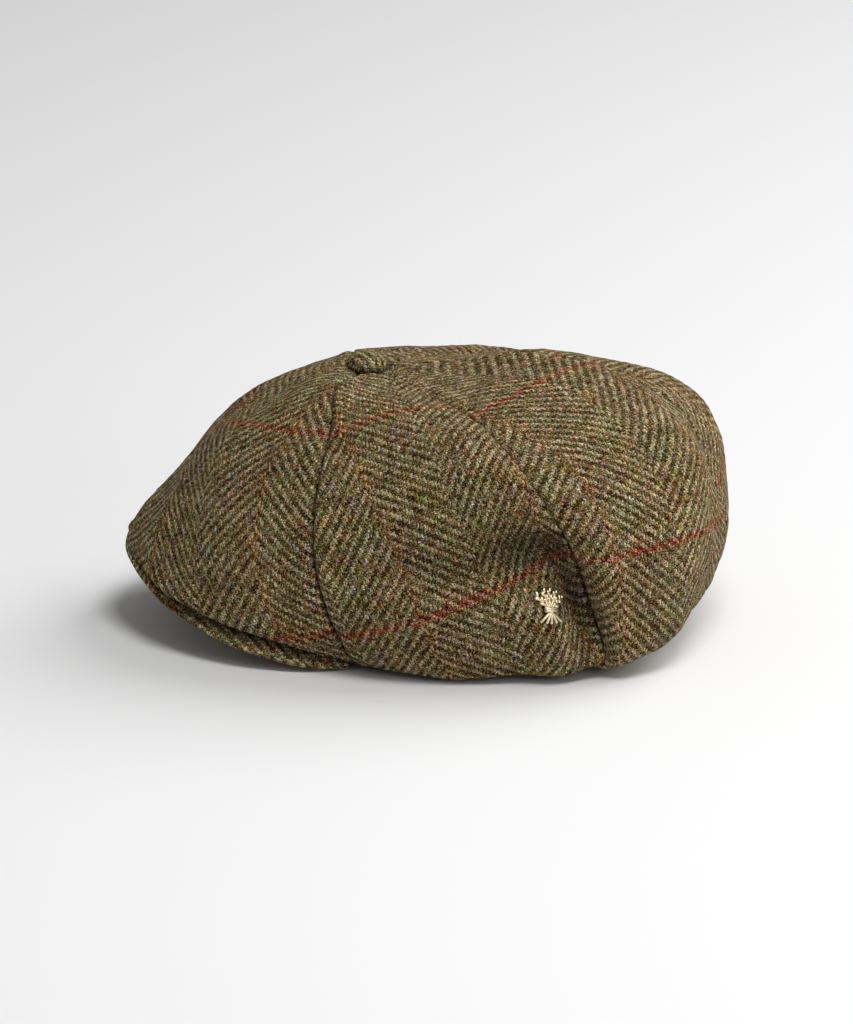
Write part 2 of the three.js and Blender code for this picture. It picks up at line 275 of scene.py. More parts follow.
def swells(panel, side):
    """Heights of a panel's swells and dents together, and of its dents alone."""
    u, v = np.meshgrid(np.linspace(0, 1, COLUMNS + 1), np.linspace(0, 1, ROWS + 1))
    rows = [row for row in SWELLS if row[0] == panel and side in row[1]]
    bumps = [height * bell(u - u0, across) * bell(v - v0, along)
             for _, _, u0, v0, across, along, height in rows]
    total = sum(bumps) * (1 - np.abs(2 * u - 1) ** SWELL_POWER)
    return total, sum(np.minimum(bump, 0) for bump in bumps)


def bare_panel(panel, side):
    """A left-hand panel's outer face with its swells, before its seams and small folds."""
    t = np.linspace(0, STATION_COUNT - 1, ROWS + 1)
    u = np.linspace(0, 1, COLUMNS + 1)
    v = t / (STATION_COUNT - 1)
    first, middle, last = (spline(line_points(name), t)[:, None, :] for name in PANELS[panel])
    w = u[None, :, None]
    p = 2 * (w - 0.5) * (w - 1) * first + 4 * w * (1 - w) * middle + 2 * w * (w - 0.5) * last
    tuck = ease(np.clip(t - (STATION_COUNT - 2), 0, 1))[:, None, None]
    angle = angle_of(p)
    p = mix(p, round_head(angle, head_radius(angle), root_height(angle) + UNDER_GAP), tuck)
    p = p + face_normals(p) * swells(panel, side)[0][..., None]
    low = v > NEAR_PEAK
    p[low, :, 2] = np.maximum(p[low, :, 2], peak_top(p[low]) + UNDER_GAP)
    return p


def cut_pattern(points):
    """Lays a panel's face out flat with its edge lengths kept, as millimetres across and along."""
    p = points[:: FLATTEN["step"], :: FLATTEN["step"]]
    rows, columns = p.shape[:2]
    middle = columns // 2
    along = np.linalg.norm(np.diff(p[:, middle], axis=0), axis=1)
    across = np.cumsum(np.linalg.norm(np.diff(p, axis=1), axis=2), axis=1)
    flat = np.zeros((rows, columns, 2))
    flat[:, 1:, 0] = across
    flat[..., 0] -= flat[:, middle : middle + 1, 0]
    flat[1:, :, 1] = np.cumsum(along)[:, None]
    every, head, tail = slice(None), slice(0, -1), slice(1, None)
    pairs = [
        ((every, head), (every, tail)),
        ((head, every), (tail, every)),
        ((head, head), (tail, tail)),
        ((tail, head), (head, tail)),
    ]
    lengths = [np.linalg.norm(p[a] - p[b], axis=2) for a, b in pairs]
    for _ in range(FLATTEN["rounds"]):
        move = np.zeros_like(flat)
        count = np.zeros((rows, columns, 1))
        for (a, b), length in zip(pairs, lengths):
            gap = flat[b] - flat[a]
            now = np.maximum(np.linalg.norm(gap, axis=2), 1e-6)
            fix = (0.5 * (now - length) / now)[..., None] * gap
            move[a] += fix
            move[b] -= fix
            count[a] += 1
            count[b] += 1
        flat += FLATTEN["push"] * move / count
        flat[:, middle, 0] = 0
    flat = spline(flat, np.linspace(0, rows - 1, ROWS + 1))
    flat = spline(flat.swapaxes(0, 1), np.linspace(0, columns - 1, COLUMNS + 1))
    return flat.swapaxes(0, 1)


def yarn_numbers(flat, cut):
    """Which warp and weft yarn lies at each point of a flat cut, as an array of two numbers."""
    across, along = flat[..., 0], flat[..., 1]
    turn = math.radians(cut["warp"])
    slope = np.tan(np.radians(mix(cut["top"], cut["low"], along / along.max())))
    warp = across * math.cos(turn) + (along - cut["pivot"]) * math.sin(turn) + cut["edge"]
    weft = along - across * slope + BUTTON_HOLE - cut["red"]
    return np.stack([warp / YARN, weft / YARN + 1], axis=-1)


def twill_rise(yarns):
    """Height of the diagonal ribs, from 0 in the furrows to 1 on the ribs."""
    odd = np.floor(yarns[..., 0] / STRIPE_YARNS) % 2
    step = yarns[..., 1] - (1 - 2 * odd) * (yarns[..., 0] - 0.5) + 3 * odd
    return 0.5 + 0.5 * np.cos((step - 1) * TAU / 4)


def seam_distances(points):
    """Distance of each point from the seam before the panel and from the seam after it."""
    steps = np.linalg.norm(np.diff(points, axis=1), axis=2)
    before = np.concatenate([np.zeros((len(points), 1)), np.cumsum(steps, axis=1)], axis=1)
    return before, before[:, -1:] - before


def crown_side(side):
    """The three panels of one side, as {panel: (outer points, outward directions, marks)}.

    A point's marks are its warp and weft numbers and how much shade is painted on the cloth there, from
    0 to 1.
    """
    bare = {panel: bare_panel(panel, side) for panel in PANELS}
    outward = {panel: face_normals(points) for panel, points in bare.items()}
    front_seam = unit(outward["front"][:, -1] + outward["side"][:, 0])
    rear_seam = unit(outward["side"][:, -1] + outward["back"][:, 0])
    flat_x = np.array([0, 1, 1])
    seams = {
        "front": (unit(outward["front"][:, 0] * flat_x), front_seam),
        "side": (front_seam, rear_seam),
        "back": (rear_seam, unit(outward["back"][:, -1] * flat_x)),
    }
    made = {}
    for panel, points in bare.items():
        normals = outward[panel]
        yarns = yarn_numbers(cut_pattern(points), CUTS[panel, side])
        facing = np.array([1 if side == "L" else -1, 1, 1])
        here = points * facing
        distances = seam_distances(points)
        near = np.minimum(*distances)
        v = np.linspace(0, 1, ROWS + 1)[:, None]
        low = mix(1.0, SEAM_LOW_SHARE, fade_in(v, *SEAM_FALLS))
        rise = sum(w["height"] * waves(here, w["size"], w["seed"]) for w in WANDER)
        # Painted shade in the dents, where the cloth sinks, and round the button's edge.
        dark = np.clip(-swells(panel, side)[1] / SHADE["dent_depth"], 0, SHADE["dent_most"])
        from_button = np.linalg.norm(points - [0, BUTTON["y"], BUTTON["z"]], axis=-1) - BUTTON["radius"]
        beside_button = np.clip(1 - from_button / SHADE["button_reach"], 0, 1)
        dark = np.maximum(dark, SHADE["button"] * beside_button)
        # Each seam sinks the cloth, and painted shade darkens its furrow.
        for distance, seam, line in zip(distances, seams[panel], PANELS[panel][::2]):
            turn = bell(distance, SEAM["turn"])[..., None]
            normals = unit(mix(normals, seam[:, None, :], turn))
            share = mix(SEAM_TOPS[line], 1.0, fade_in(v, *SEAM_GROWS)) * low
            rise -= share * SEAM["depth"] * bell(distance, SEAM["width"])
            dark = np.maximum(dark, share * np.clip(1 - distance / SHADE["seam_reach"], 0, 1))
        rise += SEAM["pillow"] * bell(near - SEAM["pillow_at"], SEAM["pillow_width"])
        pucker = waves(here, PUCKER["spacing"], PUCKER["seed"])
        rise += PUCKER["height"] * np.exp(-near / PUCKER["reach"]) * pucker
        rise += WALE["height"] * (twill_rise(yarns) - 0.5) * (1 - bell(near, WALE["fade"]))
        marks = np.concatenate([yarns, dark[..., None]], axis=-1)
        made[panel] = (points + normals * rise[..., None], normals, marks)
    return made


def clear_of_band(points):
    """Keeps the tucked edge of the crown outside the band."""
    angle = angle_of(points)
    radius = np.hypot(points[..., 0], points[..., 1] - HEAD["centre_y"])
    nearest = head_radius(angle)
    inside = (radius < nearest) & (points[..., 2] < BAND["height"] + root_height(angle))
    pushed = round_head(angle, nearest, points[..., 2])
    return np.where(inside[..., None], pushed, points)


# Meshes.
def as_object(name, points, faces, material, marks=None, mark="yarns"):
    """An object from points in millimetres, placed where the frame's own pieces are.

    Marks are up to three numbers at each point, kept for the material under the name mark.
    """
    mesh = bpy.data.meshes.new(name)
    placed = (np.asarray(points, float) - [0, ORIGIN_Y, 0]) * MM
    mesh.from_pydata(placed.tolist(), [], faces)
    if marks is not None:
        attribute = mesh.attributes.new(mark, "FLOAT_VECTOR", "POINT")
        values = np.zeros((len(placed), 3), np.float32)
        values[:, : marks.shape[1]] = marks
        attribute.data.foreach_set("vector", values.ravel())
    mesh.materials.append(material)
    mesh.polygons.foreach_set("use_smooth", [True] * len(mesh.polygons))
    mesh.validate()
    made = bpy.data.objects.new(name, mesh)
    bpy.context.scene.collection.objects.link(made)
    return made


def grid_quads(index):
    corners = [index[:-1, :-1], index[1:, :-1], index[1:, 1:], index[:-1, 1:]]
    return np.stack(corners, axis=-1).reshape(-1, 4)


def cloth_wall(outer, inner):
    """Faces of a closed wall between a fine outer grid and a coarse inner one."""
    fine = np.arange(outer.shape[0] * outer.shape[1]).reshape(outer.shape[:2])
    rough = fine.size + np.arange(inner.shape[0] * inner.shape[1]).reshape(inner.shape[:2])
    faces = grid_quads(fine).tolist() + grid_quads(rough)[:, ::-1].tolist()
    rims = [
        (fine[:, 0], rough[:, 0], True),
        (fine[:, -1], rough[:, -1], False),
        (fine[0], rough[0], False),
        (fine[-1], rough[-1], True),
    ]
    for edge, back, flip in rims:
        for k in range(len(back) - 1):
            strip = edge[COARSE * k : COARSE * (k + 1) + 1].tolist() + [int(back[k + 1]), int(back[k])]
            faces.append(strip[::-1] if flip else strip)
    return faces


def ring_faces(rings, points, wraps):
    """Faces of a tube through rings of points, closed on itself or with both ends capped."""
    index = np.arange(rings * points).reshape(rings, points)
    index = np.concatenate([index, index[:, :1]], axis=1)
    if wraps:
        index = np.concatenate([index, index[:1]])
    faces = grid_quads(index).tolist()
    if not wraps:
        faces += [index[0, :-1].tolist(), index[-1, :-1][::-1].tolist()]
    return faces


def tube(path, radii, out=(0, 0, 1)):
    """Points of a round rod along a path, its faces, and how far each point looks towards +Z."""
    sides = 8
    path = np.asarray(path, float)
    tangent = unit(np.gradient(path, axis=0))
    beside = unit(np.cross(tangent, np.array(out, float)))[:, None]
    above = unit(np.cross(beside[:, 0], tangent))[:, None]
    turns = (np.arange(sides) * TAU / sides)[None, :, None]
    ring = np.cos(turns) * beside + np.sin(turns) * above
    radii = np.broadcast_to(radii, (len(path),))[:, None, None]
    points = path[:, None] + ring * radii
    return points.reshape(-1, 3), ring_faces(len(path), sides, False), ring[..., 2].ravel()


def joined(parts):
    """The points, the faces and the marks of several parts as one."""
    points = []
    faces = []
    marks = []
    count = 0
    for part_points, part_faces, part_marks in parts:
        points.append(part_points)
        faces += [[count + k for k in face] for face in part_faces]
        marks.append(part_marks)
        count += len(part_points)
    return np.concatenate(points), faces, np.concatenate(marks)


# Materials.
class Flow:
    """A socket of a node tree. Arithmetic on it adds Math nodes to the tree."""

    def __init__(self, tree, socket=None):
        self.tree = tree
        self.socket = socket

    def node(self, kind, settings=None, sockets=None, out=0):
        """Adds a node of that kind, with its settings made first, and gives one of its outputs."""
        made = self.tree.nodes.new(kind)
        for name, value in (settings or {}).items():
            setattr(made, name, value)
        for name, value in (sockets or {}).items():
            if isinstance(value, Flow):
                self.tree.links.new(value.socket, made.inputs[name])
            else:
                made.inputs[name].default_value = value
        return Flow(self.tree, made.outputs[out])

    def out(self, name):
        return Flow(self.tree, self.socket.node.outputs[name])

    def attribute(self, name):
        return self.node("ShaderNodeAttribute", {"attribute_name": name}, None, "Vector")

    def split(self, vector):
        """The X of a vector or colour; its Y and Z are two more outputs."""
        return self.node("ShaderNodeSeparateXYZ", None, {"Vector": vector})

    def noise(self, vector, scale, detail, roughness=0.5, out=0):
        sockets = {"Vector": vector, "Scale": scale, "Detail": detail, "Roughness": roughness}
        return self.node("ShaderNodeTexNoise", None, sockets, out)

    def maths(self, operation, *values):
        sockets = dict(enumerate(values))
        return self.node("ShaderNodeMath", {"operation": operation}, sockets)

    def __add__(self, other):
        return self.maths("ADD", self, other)

    def __radd__(self, other):
        return self.maths("ADD", other, self)

    def __sub__(self, other):
        return self.maths("SUBTRACT", self, other)

    def __rsub__(self, other):
        return self.maths("SUBTRACT", other, self)

    def __mul__(self, other):
        return self.maths("MULTIPLY", self, other)

    def __rmul__(self, other):
        return self.maths("MULTIPLY", other, self)

    def __truediv__(self, other):
        return self.maths("DIVIDE", self, other)

    def __mod__(self, other):
        return self.maths("FLOORED_MODULO", self, other)

    def __pow__(self, other):
        return self.maths("POWER", self, other)

    def __lt__(self, other):
        return self.maths("LESS_THAN", self, other)

    def __gt__(self, other):
        return self.maths("GREATER_THAN", self, other)

    def __abs__(self):
        return self.maths("ABSOLUTE", self)

    def floor(self):
        return self.maths("FLOOR", self)

    def at_least(self, other):
        return self.maths("MAXIMUM", self, other)

    def at_most(self, other):
        return self.maths("MINIMUM", self, other)

    def towards(self, other, share):
        return self + (other - self) * share

    def grey(self):
        return self.node("ShaderNodeCombineColor", None, {"Red": self, "Green": self, "Blue": self})

    def vector(self, x, y, z=0.0):
        return self.node("ShaderNodeCombineXYZ", None, {"X": x, "Y": y, "Z": z})

    def bump(self, strength, distance, height):
        sockets = {"Strength": strength, "Distance": distance, "Height": height}
        return self.node("ShaderNodeBump", None, sockets, "Normal")

    def colour_mix(self, share, first, second, blend="MIX"):
        settings = {"data_type": "RGBA", "blend_type": blend}
        return self.node("ShaderNodeMix", settings, {0: share, 6: first, 7: second}, 2)


SCREEN_POWER = 2.2


def srgb(red, green, blue):
    """A colour on the 0 to 255 screen scale as the linear values that a shader takes."""
    scaled = [c / 255 for c in (red, green, blue)]
    return tuple(c / 12.92 if c <= 0.04045 else ((c + 0.055) / 1.055) ** 2.4 for c in scaled)


def new_material(name):
    material = bpy.data.materials.new(name)
    material.use_nodes = True
    tree = material.node_tree
    tree.nodes.clear()
    return material, Flow(tree)


def finish_material(flow, colour, roughness, normal=None, constants=None):
    sockets = {"Base Color": colour, "Roughness": roughness}
    if normal is not None:
        sockets["Normal"] = normal
    sockets.update(constants or {})
    shader = flow.node("ShaderNodeBsdfPrincipled", None, sockets)
    end = flow.tree.nodes.new("ShaderNodeOutputMaterial")
    flow.tree.links.new(shader.socket, end.inputs["Surface"])


# Colours of the cloth on the screen's scale, as what each adds to red, green and blue.
PLAIN = (0.073, 0.009, -0.12)
WARM = (1.0, 0.0, -1.3)
GREEN = (-0.5, 1.0, -0.5)
RUST = (0.05, -0.03, -0.05)
RED = (0.08, -0.15, -0.115)
LIGHTNESS = {"warp": 0.47, "weft": 0.25}
# How much each thing changes the lightness and the dyes. Furrow is the share of lightness left in the
# furrows between the floats, as painted shade.
WOOL = {"furrow": 0.76, "float": 0.2, "drift": 0.16, "strand": 1.0, "clump": 0.8, "fibre": 1.65,
        "hairs": 0.1}
WARM_SHARES = {"tuft": 0.14, "drift": 0.06, "float": 0.04}
GREEN_SHARES = {"tuft": 0.15, "drift": 0.05, "float": 0.03}
# The thin lines are three yarns wide. Each float on them takes up at least a share of the line's
# colour, and more by chance. Red is hidden in part where the warp shows.
LINE_YARNS = 3
LINE_SHARES = {
    "rust": {"least": 0.2, "by_chance": 0.6},
    "red": {"least": 0.25, "by_chance": 0.75, "hidden": 0.4},
}
# Unevenness of the wool, laid over the numbers of the yarns or over places in metres. Columns: over,
# scale, detail, roughness.
WOOL_NOISE = {
    "sway": ("yarns", 0.22, 2.0, 0.5),
    "kink": ("yarns", 0.85, 2.0, 0.5),
    "drift": ("yarns", 0.08, 2.0, 0.6),
    "fibre": ("place", 1900.0, 3.0, 0.75),
    "clump": ("place", 950.0, 2.0, 0.7),
    "hairs": ("place", 1300.0, 4.0, 0.75),
    "tuft": ("place", 330.0, 2.0, 0.6),
}
# How far the yarns sway and kink to and fro, in yarns.
YARN_PATH = {"sway": 1.1, "kink": 0.9}
# A strand's noise is stretched along its yarn. Columns: scale across it and along it.
STRAND_SCALES = (3.0, 1.3)
HAIRS = {"from": 0.57, "contrast": 4.0}
WOOL_RELIEF = {"strength": 0.9, "distance": 0.0005, "fuzz": 0.5}


def tweed_material():
    """Thick twill, where each yarn, each float and each tuft of fibres has a shade of its own."""
    material, flow = new_material("herringbone_tweed")
    yarns = flow.attribute("yarns")
    place = flow.node("ShaderNodeTexCoord", None, None, "Object")
    counted = flow.split(yarns)

    def noise(name, out=0):
        over, scale, detail, roughness = WOOL_NOISE[name]
        return flow.noise(yarns if over == "yarns" else place, scale, detail, roughness, out)

    sway = flow.split(noise("sway", "Color"))
    kink = flow.split(noise("kink", "Color"))

    def wandered(at, sway_there, kink_there):
        return at + (sway_there - 0.5) * YARN_PATH["sway"] + (kink_there - 0.5) * YARN_PATH["kink"]

    x = wandered(counted, sway, kink)
    y = wandered(counted.out("Y"), sway.out("Y"), kink.out("Y"))

    # The weave: which yarn lies on top, and how high its crown stands there.
    warp = x.floor()
    weft = y.floor()
    odd = (counted / STRIPE_YARNS).floor() % 2.0
    slant = 1 - 2 * odd
    warp_step = y - slant * warp + 3 * odd
    weft_step = weft + 0.5 - slant * (x - 0.5) + 3 * odd
    warp_along = abs(warp_step % 4.0 - 1.0)
    weft_along = abs(weft_step % 4.0 - 3.0)
    warp_across = abs((x - warp) * 2.0 - 1.0)
    weft_across = abs((y - weft) * 2.0 - 1.0)
    warp_rise = (1 - warp_across**2.0) * (1 - warp_along**3.0).at_least(0.0)
    weft_rise = (1 - weft_across**2.0) * (1 - weft_along**3.0).at_least(0.0)
    warp_shows = warp_rise > weft_rise
    rise = warp_rise.at_least(weft_rise)

    # Chance numbers for each float, and for strands, fibres and tufts of wool.
    warp_float = flow.vector(warp, (warp_step / 4.0).floor(), 1.0)
    weft_float = flow.vector((weft_step / 4.0).floor(), weft, 7.0)
    warp_pick = flow.split(flow.node("ShaderNodeTexWhiteNoise", None, {"Vector": warp_float}, "Color"))
    weft_pick = flow.split(flow.node("ShaderNodeTexWhiteNoise", None, {"Vector": weft_float}, "Color"))
    tone = weft_pick.towards(warp_pick, warp_shows)
    dye = weft_pick.out("Y").towards(warp_pick.out("Y"), warp_shows)
    mark = weft_pick.out("Z").towards(warp_pick.out("Z"), warp_shows)
    across, along = STRAND_SCALES
    warp_strand = flow.noise(flow.vector(x * across, y * along, 4.0), 1.0, 2.0, 0.7)
    weft_strand = flow.noise(flow.vector(x * along, y * across, 6.0), 1.0, 2.0, 0.7)
    strand = weft_strand.towards(warp_strand, warp_shows)
    fibre = noise("fibre")
    clump = noise("clump")
    hairs = ((noise("hairs") - HAIRS["from"]) * HAIRS["contrast"]).at_least(0.0).at_most(1.0)
    tuft = flow.split(noise("tuft", "Color"))
    drift = flow.split(noise("drift", "Color"))

    # Lightness, then what the dyes add to it.
    wool = LIGHTNESS["weft"] + warp_shows * (LIGHTNESS["warp"] - LIGHTNESS["weft"])
    # Painted shade: darker in the furrows between the floats.
    wool = wool * (WOOL["furrow"] + (1 - WOOL["furrow"]) * rise)
    wool = wool + (tone - 0.5) * WOOL["float"] + (drift.out("Z") - 0.5) * WOOL["drift"]
    wool = wool + (strand - 0.5) * WOOL["strand"] + (clump - 0.5) * WOOL["clump"]
    wool = wool + (fibre - 0.5) * WOOL["fibre"] + hairs * WOOL["hairs"]
    warm = (tuft - 0.5) * WARM_SHARES["tuft"] + (drift - 0.5) * WARM_SHARES["drift"]
    warm = warm + (dye - 0.5) * WARM_SHARES["float"]
    green = (tuft.out("Y") - 0.5) * GREEN_SHARES["tuft"] + (drift.out("Y") - 0.5) * GREEN_SHARES["drift"]
    green = green + (mark - 0.5) * GREEN_SHARES["float"]
    shares = LINE_SHARES["rust"]
    rust = ((warp + 1) % (2 * STRIPE_YARNS)) < LINE_YARNS - 0.5
    rust = rust * (shares["least"] + shares["by_chance"] * mark)
    shares = LINE_SHARES["red"]
    red = (weft % RED_SPACING) < LINE_YARNS - 0.5
    red = red * (shares["least"] + shares["by_chance"] * mark) * (1 - shares["hidden"] * warp_shows)
    # Painted shade of the seams, dents, button and peak, from the third number of the yarns attribute.
    light = 1 - SHADE["strength"] * counted.out("Z") ** 2.0
    channels = []
    for plain, per_warm, per_green, per_rust, per_red in zip(PLAIN, WARM, GREEN, RUST, RED):
        level = wool + plain + warm * per_warm + green * per_green + rust * per_rust + red * per_red
        channels.append((level * light).at_least(0.02) ** SCREEN_POWER)
    colour = flow.vector(*channels)

    height = rise
    for fuzz in (strand, fibre, clump):
        height = height + (fuzz - 0.5) * WOOL_RELIEF["fuzz"]
    relief = flow.bump(WOOL_RELIEF["strength"], WOOL_RELIEF["distance"], height)
    finish_material(flow, colour, 0.95, relief, {
        "Sheen Weight": 0.02,
        "Sheen Roughness": 0.6,
        "Sheen Tint": (0.9, 0.8, 0.6, 1),
        "Specular IOR Level": 0.04,
    })
    return material


BAND_CLOTH = {"yarn": 0.7, "colour": (84, 70, 52), "furrow": 0.55, "rib": 0.35, "thread": 0.6}


def band_material():
    """Plain dark brown twill."""
    material, flow = new_material("band_twill")
    yarns = flow.attribute("yarns")
    counted = flow.split(yarns)
    rib = abs((counted + counted.out("Y")) % 1.0 - 0.5) * 2.0
    thread = flow.noise(yarns, 1.4, 3.0)
    # Darker in the twill's furrows, as painted shade, with the thread's own unevenness on top.
    shade = BAND_CLOTH["furrow"] + BAND_CLOTH["rib"] * (1 - rib) + (thread - 0.5) * BAND_CLOTH["thread"]
    colour = flow.colour_mix(1.0, (*srgb(*BAND_CLOTH["colour"]), 1), shade.grey(), "MULTIPLY")
    height = 1 - rib + thread * 0.4
    finish_material(flow, colour, 0.88, flow.bump(0.7, 0.0002, height), {"Sheen Weight": 0.1})
    return material


GILT = {"painted_shade": (70, 46, 26), "raised": (250, 228, 190), "power": 0.8, "roughness": 0.22, "cast": 0.2}


def gilt_material():
    """Pale gilt plating with a cast, slightly worn surface, and shade painted where its rods turn aside.
    """
    material, flow = new_material("pale_gilt")
    place = flow.node("ShaderNodeTexCoord", None, None, "Object")
    # Painted shade: the gilt is darker where a rod's surface turns aside from the cloth's outward side.
    raised = flow.split(flow.attribute("relief")).at_least(0.0) ** GILT["power"]
    cast = flow.noise(place, 1500.0, 3.0)
    colour = flow.colour_mix(raised, (*srgb(*GILT["painted_shade"]), 1), (*srgb(*GILT["raised"]), 1))
    roughness = GILT["roughness"] + GILT["cast"] * cast
    finish_material(flow, colour, roughness, flow.bump(0.25, 0.0001, cast), {"Metallic": 1.0})
    return material


# Pieces.
def make_panels(material):
    made = []
    crown = {side: crown_side(side) for side in "LR"}
    for side, panels in crown.items():
        side_name = "left" if side == "L" else "right"
        for panel, (outer, normals, marks) in panels.items():
            coarse = (slice(None, None, COARSE), slice(None, None, COARSE))
            inner = clear_of_band(outer[coarse] - normals[coarse] * CLOTH)
            faces = cloth_wall(outer, inner)
            points = np.concatenate([outer.reshape(-1, 3), inner.reshape(-1, 3)])
            marks = np.concatenate([marks.reshape(-1, 3), marks[coarse].reshape(-1, 3)])
            if side == "R":
                points = points * [-1, 1, 1]
                faces = [face[::-1] for face in faces]
            cloth = as_object(f"tweed_{panel}_{side_name}", points, faces, material, marks)
            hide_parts(f"{panel}_{side_name}_panel")
            made.append(cloth)
    return made, crown


def make_peak(material):
    """The peak's board in its cloth cover, with a soft round edge."""
    steps = 220
    half = PEAK["thickness"] / 2
    spans = np.linspace(0, 1, 40)
    turns = np.linspace(0.5, -0.5, 11)[1:-1] * math.pi
    rings = []
    cloth = []
    shades = []
    for angle in np.linspace(-PEAK["corner_angle"], PEAK["corner_angle"], steps):
        inner = head_radius(angle)
        reach, edge_z = peak_edge(angle)
        radius = mix(inner, reach - half, spans)
        height = mix(root_height(angle), edge_z, spans)
        round_radius = reach - half + half * np.cos(turns)
        round_height = edge_z - half + half * np.sin(turns)
        radii = np.concatenate([radius, round_radius, radius[::-1]])
        heights = np.concatenate([height, round_height, height[::-1] - PEAK["thickness"]])
        rings.append(round_head(angle, radii, heights))
        travelled = np.cumsum(np.hypot(np.diff(radii), np.diff(heights)))
        cloth.append(round_head(angle, inner + np.concatenate([[0], travelled]), 0.0))
        # Painted shade on the peak's top, from a little in from its edge towards the crown, and towards
        # its corners.
        past_front = (abs(angle) - PEAK_SHADE["corner_starts"]) / PEAK_SHADE["corner_reach"]
        least = PEAK_SHADE["corner"] * np.clip(past_front, 0, 1)
        inwards = (reach - radii - PEAK_SHADE["starts"]) / PEAK_SHADE["reach"]
        shade = np.clip(inwards, least, PEAK_SHADE["most"])
        on_top = np.arange(len(radii)) < len(spans)
        shades.append(np.where(on_top, shade, 0.0))
    rings = np.array(rings)
    points = rings.reshape(-1, 3)
    wander = waves(points, PEAK_WANDER["size"], PEAK_WANDER["seed"])[:, None]
    points = points + [0, 0, 1] * wander * PEAK_WANDER["height"]
    yarns = np.array(cloth).reshape(-1, 3)[:, :2] / YARN + CUT_FROM["peak"]
    marks = np.concatenate([yarns, np.array(shades).reshape(-1, 1)], axis=1)
    faces = ring_faces(steps, rings.shape[1], False)
    faces = [face[::-1] for face in faces]
    peak = as_object("peak_cover", points, faces, material, marks)
    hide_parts("peak")
    return peak


def make_band(material):
    """The band round the head opening, with soft edges, which arches over the brow."""
    steps = 360
    half = BAND["thickness"] / 2
    straight = BAND["height"] - 2 * half
    levels = np.linspace(0, 1, 16)
    turns = np.linspace(0, math.pi, 7)[1:-1]
    outer = np.zeros(len(levels))
    inner = outer + 2 * half
    insets = np.concatenate([outer, half - half * np.cos(turns), inner, half + half * np.cos(turns)])
    insets = insets + BAND["inset"]
    rings = []
    yarns = []
    travelled = 0.0
    last = None
    for k in range(steps):
        angle = 360 * k / steps
        front = angle - 360 if angle > 180 else angle
        low = root_height(front) - PEAK["foot"]
        high = low + BAND["height"]
        heights = np.concatenate([
            low + half + levels * straight,
            high - half + half * np.sin(turns),
            high - half - levels * straight,
            low + half - half * np.sin(turns),
        ])
        ring = round_head(front, head_radius(front, insets), heights)
        centre = ring.mean(axis=0)
        travelled += 0 if last is None else float(np.linalg.norm(centre - last))
        last = centre
        rings.append(ring)
        across_band = np.stack([np.full(len(ring), travelled), heights - low], axis=-1)
        yarns.append(across_band / BAND_CLOTH["yarn"])
    points = np.array(rings).reshape(-1, 3)
    faces = ring_faces(steps, len(rings[0]), True)
    band = as_object("head_band", points, faces, material, np.array(yarns).reshape(-1, 2))
    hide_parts("headband")
    return band


# The button from its top to its underside, as shares of its radius and of its height.
BUTTON_PROFILE = [
    (0.0, 1.0), (0.25, 0.97), (0.45, 0.9), (0.62, 0.79), (0.77, 0.63), (0.89, 0.43),
    (0.97, 0.22), (1.0, 0.04), (0.985, -0.12), (0.93, -0.22), (0.82, -0.27), (0.6, -0.28),
]
GATHERS = {"depth": 0.25, "count": 14, "uneven": 0.6, "lift": 0.3}


def make_button(material):
    """The cloth-covered button, gathered under its rim."""
    spokes = 96
    curve = spline(BUTTON_PROFILE, np.linspace(0, len(BUTTON_PROFILE) - 1, 48))
    steps = np.diff(curve, axis=0) * [BUTTON["radius"], BUTTON["height"]]
    travelled = np.cumsum(np.hypot(*steps.T))
    turns = np.arange(spokes) * TAU / spokes
    rings = []
    for share, level in curve[1:]:
        uneven = GATHERS["uneven"] * np.sin(turns * 3)
        gather = GATHERS["depth"] * share**6 * np.sin(turns * GATHERS["count"] + uneven)
        radius = BUTTON["radius"] * share + gather
        height = level * BUTTON["height"] + GATHERS["lift"] * gather
        rings.append(np.stack([radius * np.cos(turns), radius * np.sin(turns), height], axis=-1))
    rings = np.array(rings)
    points = np.concatenate([rings.reshape(-1, 3), [[0, 0, BUTTON["height"]]]])
    *sides, _, underside = ring_faces(len(rings), spokes, False)
    tip = len(points) - 1
    faces = sides + [[tip, k, (k + 1) % spokes] for k in range(spokes)] + [underside]
    spread = travelled[:, None, None] * np.stack([np.cos(turns), np.sin(turns)], axis=-1)
    yarns = np.concatenate([spread.reshape(-1, 2), [[0, 0]]]) / YARN + CUT_FROM["button"]
    # Painted shade under the button's rim.
    shade = SHADE["button"] * np.clip(1 - points[:, 2] / BUTTON["height"] / SHADE["button_rim"], 0, 1)
    marks = np.concatenate([yarns, shade[:, None]], axis=1)
    turn = Matrix.Rotation(math.radians(BUTTON["tilt"]), 3, "X")
    points = points @ np.array(turn).T + [0, BUTTON["y"], BUTTON["z"]]
    button = as_object("covered_button", points, faces, material, marks)
    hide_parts("button")
    return button


# Ears lean apart at the tip by spread and at the foot by cross, and pass the tie between them.
SHEAF = {"ears": 5, "spread": 3.6, "droop": 0.7, "cross": 2.7, "lift": 0.25, "straw": 0.78,
         "grains": 6, "grains_start": 0.54, "grain": 1.6, "grain_radius": 0.92, "apart": 0.72,
         "grain_lean": 0.55, "tie": 0.62, "tie_width": 3.0, "tie_levels": (-2.2, -1.2)}


def bend(foot, waist, tip, t):
    """Points and directions on a curve from foot to tip that leans towards the waist."""
    t = np.atleast_1d(t)[:, None]
    points = (1 - t) ** 2 * foot + 2 * t * (1 - t) * waist + t**2 * tip
    return points, unit(2 * (1 - t) * (waist - foot) + 2 * t * (tip - waist))


